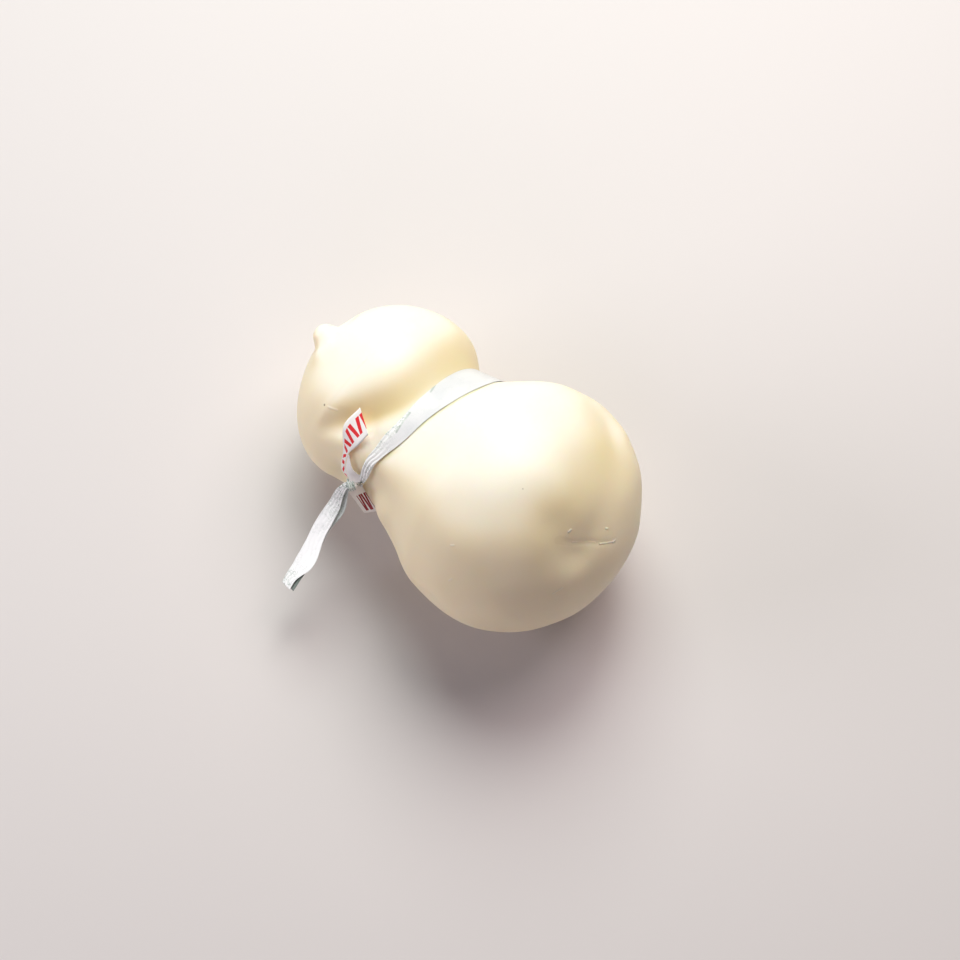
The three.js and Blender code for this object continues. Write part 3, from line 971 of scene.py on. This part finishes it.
def satinMaterial(name, slits=(), paintedShadowAtEnd=False):
    material, nodes = newMaterial(name)
    finish, paintedFoldShade = satinFinish[name], satinFinish["paintedFoldShade"]
    film = nodes.add("ShaderNodeUVMap", {"uv_map": "UVMap"})
    place = nodes.add("ShaderNodeTexCoord", {}, {}, "Object")
    valley, gathered = nodes.attribute("valley"), nodes.attribute("gathered")
    fibres = nodes.noise(nodes.vector("MULTIPLY", film, (1.2, 30.0, 1.0)), 1.0, 3.0, 0.6)
    fromLevel = nodes.function("ABSOLUTE", nodes.noise(place, 750.0, 2.0, 0.6) - 0.5)
    lines = 1 - nodes.smooth(fromLevel, 0.01, 0.045)
    patches = nodes.smooth(nodes.noise(place, 300.0, 1.0), 0.42, 0.54)
    creases = nodes.function("MINIMUM", lines * patches * gathered, 1.0)
    broad = nodes.smooth(nodes.noise(place, 110.0, 1.0), 0.35, 0.65)
    flat = nodes.mixed(broad, *finish["flat"])
    threads = nodes.mixed(fibres, *finish["threads"])
    colour = nodes.mixed(nodes.smooth(gathered, 0.1, 0.6), flat, threads)
    # painted shade along each slit
    for slit in slits:
        ends = [placed(skinPoint(at, math.radians(turn), 0.4)).tolist() for at, turn in slit]
        paintedSlitShade = 1 - nodes.smooth(fromSegment(nodes, place, *ends), 0.00015, 0.0005)
        colour = nodes.mixed(paintedSlitShade * 0.5, colour, paintedFoldShade)
    # painted shadow of the front ply over the back ply's end
    if paintedShadowAtEnd:
        along = nodes.add("ShaderNodeSeparateXYZ", {}, {0: film}).other("X")
        colour = nodes.mixed(nodes.smooth(along, *satinFinish["paintedShadowFrom"]), colour, satinFinish["dark"])
    # painted shade in fine creases and in the pleats' valleys
    colour = nodes.mixed(creases * 0.9, colour, paintedFoldShade)
    colour = nodes.mixed(valley * 0.35, colour, paintedFoldShade)
    bumped = nodes.add(
        "ShaderNodeBump", {}, {"Strength": 0.3, "Distance": 0.0002, "Height": fibres - creases}
    )
    surface = nodes.add(
        "ShaderNodeBsdfPrincipled", {},
        {"Base Color": colour, "Roughness": 0.28 + fibres * 0.15, "Normal": bumped,
         "Sheen Weight": 0.4, "Sheen Roughness": 0.4},
    )
    nodes.add("ShaderNodeOutputMaterial", {}, {"Surface": surface})
    return material


# Slanted red bars, a generic print. It lies between low and high, shares of the tape's width, and
# starts at a place along the tape in centimetres. The spacing of the bars is in millimetres, and their
# half width is a share of it.
tapePrints = {
    "printedTape": {"low": 0.17, "high": 0.8, "starts": -1, "spacing": 2.2, "halfWidth": 0.24,
                    "red": (0.78, 0.012, 0.02, 1)},
    # the lower flag's print is a darker red: painted shade, as that flag lies in shade
    "printedEndPaintedShade": {"low": 0.28, "high": 0.93, "starts": 0.25, "spacing": 1.75, "halfWidth": 0.33,
                   "red": (0.3, 0.004, 0.01, 1)},
}
barLean = 1.2
tapeWhites = (0.9, 0.87, 0.83, 1), (0.96, 0.94, 0.92, 1)


def tapeMaterial(name):
    material, nodes = newMaterial(name)
    film = nodes.add("ShaderNodeUVMap", {"uv_map": "UVMap"})
    mottle = nodes.noise(nodes.vector("MULTIPLY", film, (3.0, 2.0, 1.0)), 3.0, 2.0)
    colour = nodes.mixed(mottle, *tapeWhites)
    if name in tapePrints:
        bars = tapePrints[name]
        parts = nodes.add("ShaderNodeSeparateXYZ", {}, {0: film})
        along, side = parts.other("X"), parts.other("Y")
        count = along * (10.0 / bars["spacing"])
        leaning = nodes.function("MODULO", nodes.function("FLOOR", count), 2.0) - 0.5
        off = nodes.function("FRACT", count) - 0.5 - leaning * (side - 0.5) * barLean
        thick = bars["halfWidth"]
        bar = 1 - nodes.smooth(nodes.function("ABSOLUTE", off), thick, thick + 0.05)
        low, high = bars["low"], bars["high"]
        within = nodes.smooth(side, low, low + 0.03) * (1 - nodes.smooth(side, high - 0.03, high))
        within = within * nodes.smooth(along, bars["starts"], bars["starts"] + 0.02)
        colour = nodes.mixed(bar * within, colour, bars["red"])
    surface = nodes.add(
        "ShaderNodeBsdfPrincipled", {}, {"Base Color": colour, "Roughness": 0.34 + mottle * 0.1}
    )
    nodes.add("ShaderNodeOutputMaterial", {}, {"Surface": surface})
    return material


def floorMaterial():
    material, nodes = newMaterial("paleFloor")
    surface = nodes.add(
        "ShaderNodeBsdfPrincipled", {}, {"Base Color": studio["floorColour"], "Roughness": 0.6}
    )
    nodes.add("ShaderNodeOutputMaterial", {}, {"Surface": surface})
    return material


skin = cheesePiece(skinMaterial())
print("cheese", len(skin.data.polygons), "faces")
satins = {
    "band": satinMaterial("bandSatin", slits=band["slits"]),
    "front": satinMaterial("tailSatin"),
    "back": satinMaterial("shadedSatin", paintedShadowAtEnd=True),
}
ribbons = ribbonPieces(satins, skin)
print("ribbon", [len(piece.data.polygons) for piece in ribbons], "faces")
tapes = tapePieces(*(tapeMaterial(name) for name in ("plainTape", "printedTape", "printedEndPaintedShade")))
print("tape", [len(piece.data.polygons) for piece in tapes], "faces")

for pieces, slot, node in (
    ([skin], "cheese", "cheese"), (ribbons, "ribbon", "tie_ribbon"), (tapes, "tape", "label_tape"),
):
    for piece in pieces:
        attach(piece, "root")
    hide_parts(node)


# Floor, light and camera

studio = {
    "floorSize": 4.0,
    "floorColour": (0.7, 0.66, 0.645, 1),
    "lampsAway": 0.9,
    # the way to each lamp from the object, its size, power and colour
    "lamps": {
        "key": ((-0.446, 0.463, 0.766), 0.6, 6.3, (0.96, 1.05, 1.0)),
        "right": ((-0.089, 0.567, 0.819), 0.6, 4.0, (1.09, 0.95, 0.94)),
        "left": ((-0.67, -0.645, 0.375), 0.6, 3.5, (1.0, 0.955, 1.03)),
        "low": ((0.66, -0.68, 0.32), 0.6, 1.25, (1.03, 0.9, 1.06)),
    },
    "skyColour": (1.0, 0.93, 0.9),
    "sky": 0.01,
}

view = {
    "azimuth": 43.91,
    "elevation": 73.5,
    "distance": 0.7275,
    "lens": 92.8,
    "aim": (0.0072, 0.0113, -0.0076),  # from the middle of the object's box
}


def aimed(thing, place, target):
    thing.location = place
    thing.rotation_euler = (Vector(target) - Vector(place)).to_track_quat("-Z", "Y").to_euler()
    bpy.context.scene.collection.objects.link(thing)


def makeStage():
    half = studio["floorSize"] / 2
    corners = np.array([(-half, -half, 0), (half, -half, 0), (half, half, 0), (-half, half, 0)])
    floor = makeMesh("floor", corners, [(0, 1, 2, 3)], floorMaterial())
    middle = (Vector(cadBox[0]) + Vector(cadBox[1])) / 2
    for name, (way, size, power, colour) in studio["lamps"].items():
        lamp = bpy.data.lights.new(name, "AREA")
        lamp.shape = "DISK"
        lamp.size = size
        lamp.energy = power
        lamp.color = colour
        spot = middle + Vector(way).normalized() * studio["lampsAway"]
        aimed(bpy.data.objects.new(name, lamp), spot, middle)
    world = bpy.data.worlds.new("paleRoom")
    bpy.context.scene.world = world
    world.use_nodes = True
    nodes = Nodes(world.node_tree)
    sky = nodes.add(
        "ShaderNodeBackground", {}, {"Color": (*studio["skyColour"], 1), "Strength": studio["sky"]}
    )
    nodes.add("ShaderNodeOutputWorld", {}, {"Surface": sky})
    target = middle + Vector(view["aim"])
    turn, rise = math.radians(view["azimuth"]), math.radians(view["elevation"])
    back = Vector((math.sin(turn) * math.cos(rise), -math.cos(turn) * math.cos(rise), math.sin(rise)))
    camera = bpy.data.cameras.new("camera")
    camera.lens = view["lens"]
    camera.sensor_width = 36
    camera.clip_end = 20
    watcher = bpy.data.objects.new("camera", camera)
    aimed(watcher, target + back * view["distance"], target)
    bpy.context.scene.camera = watcher
    bpy.context.scene.view_settings.view_transform = "Standard"


makeStage()
print("stage set")
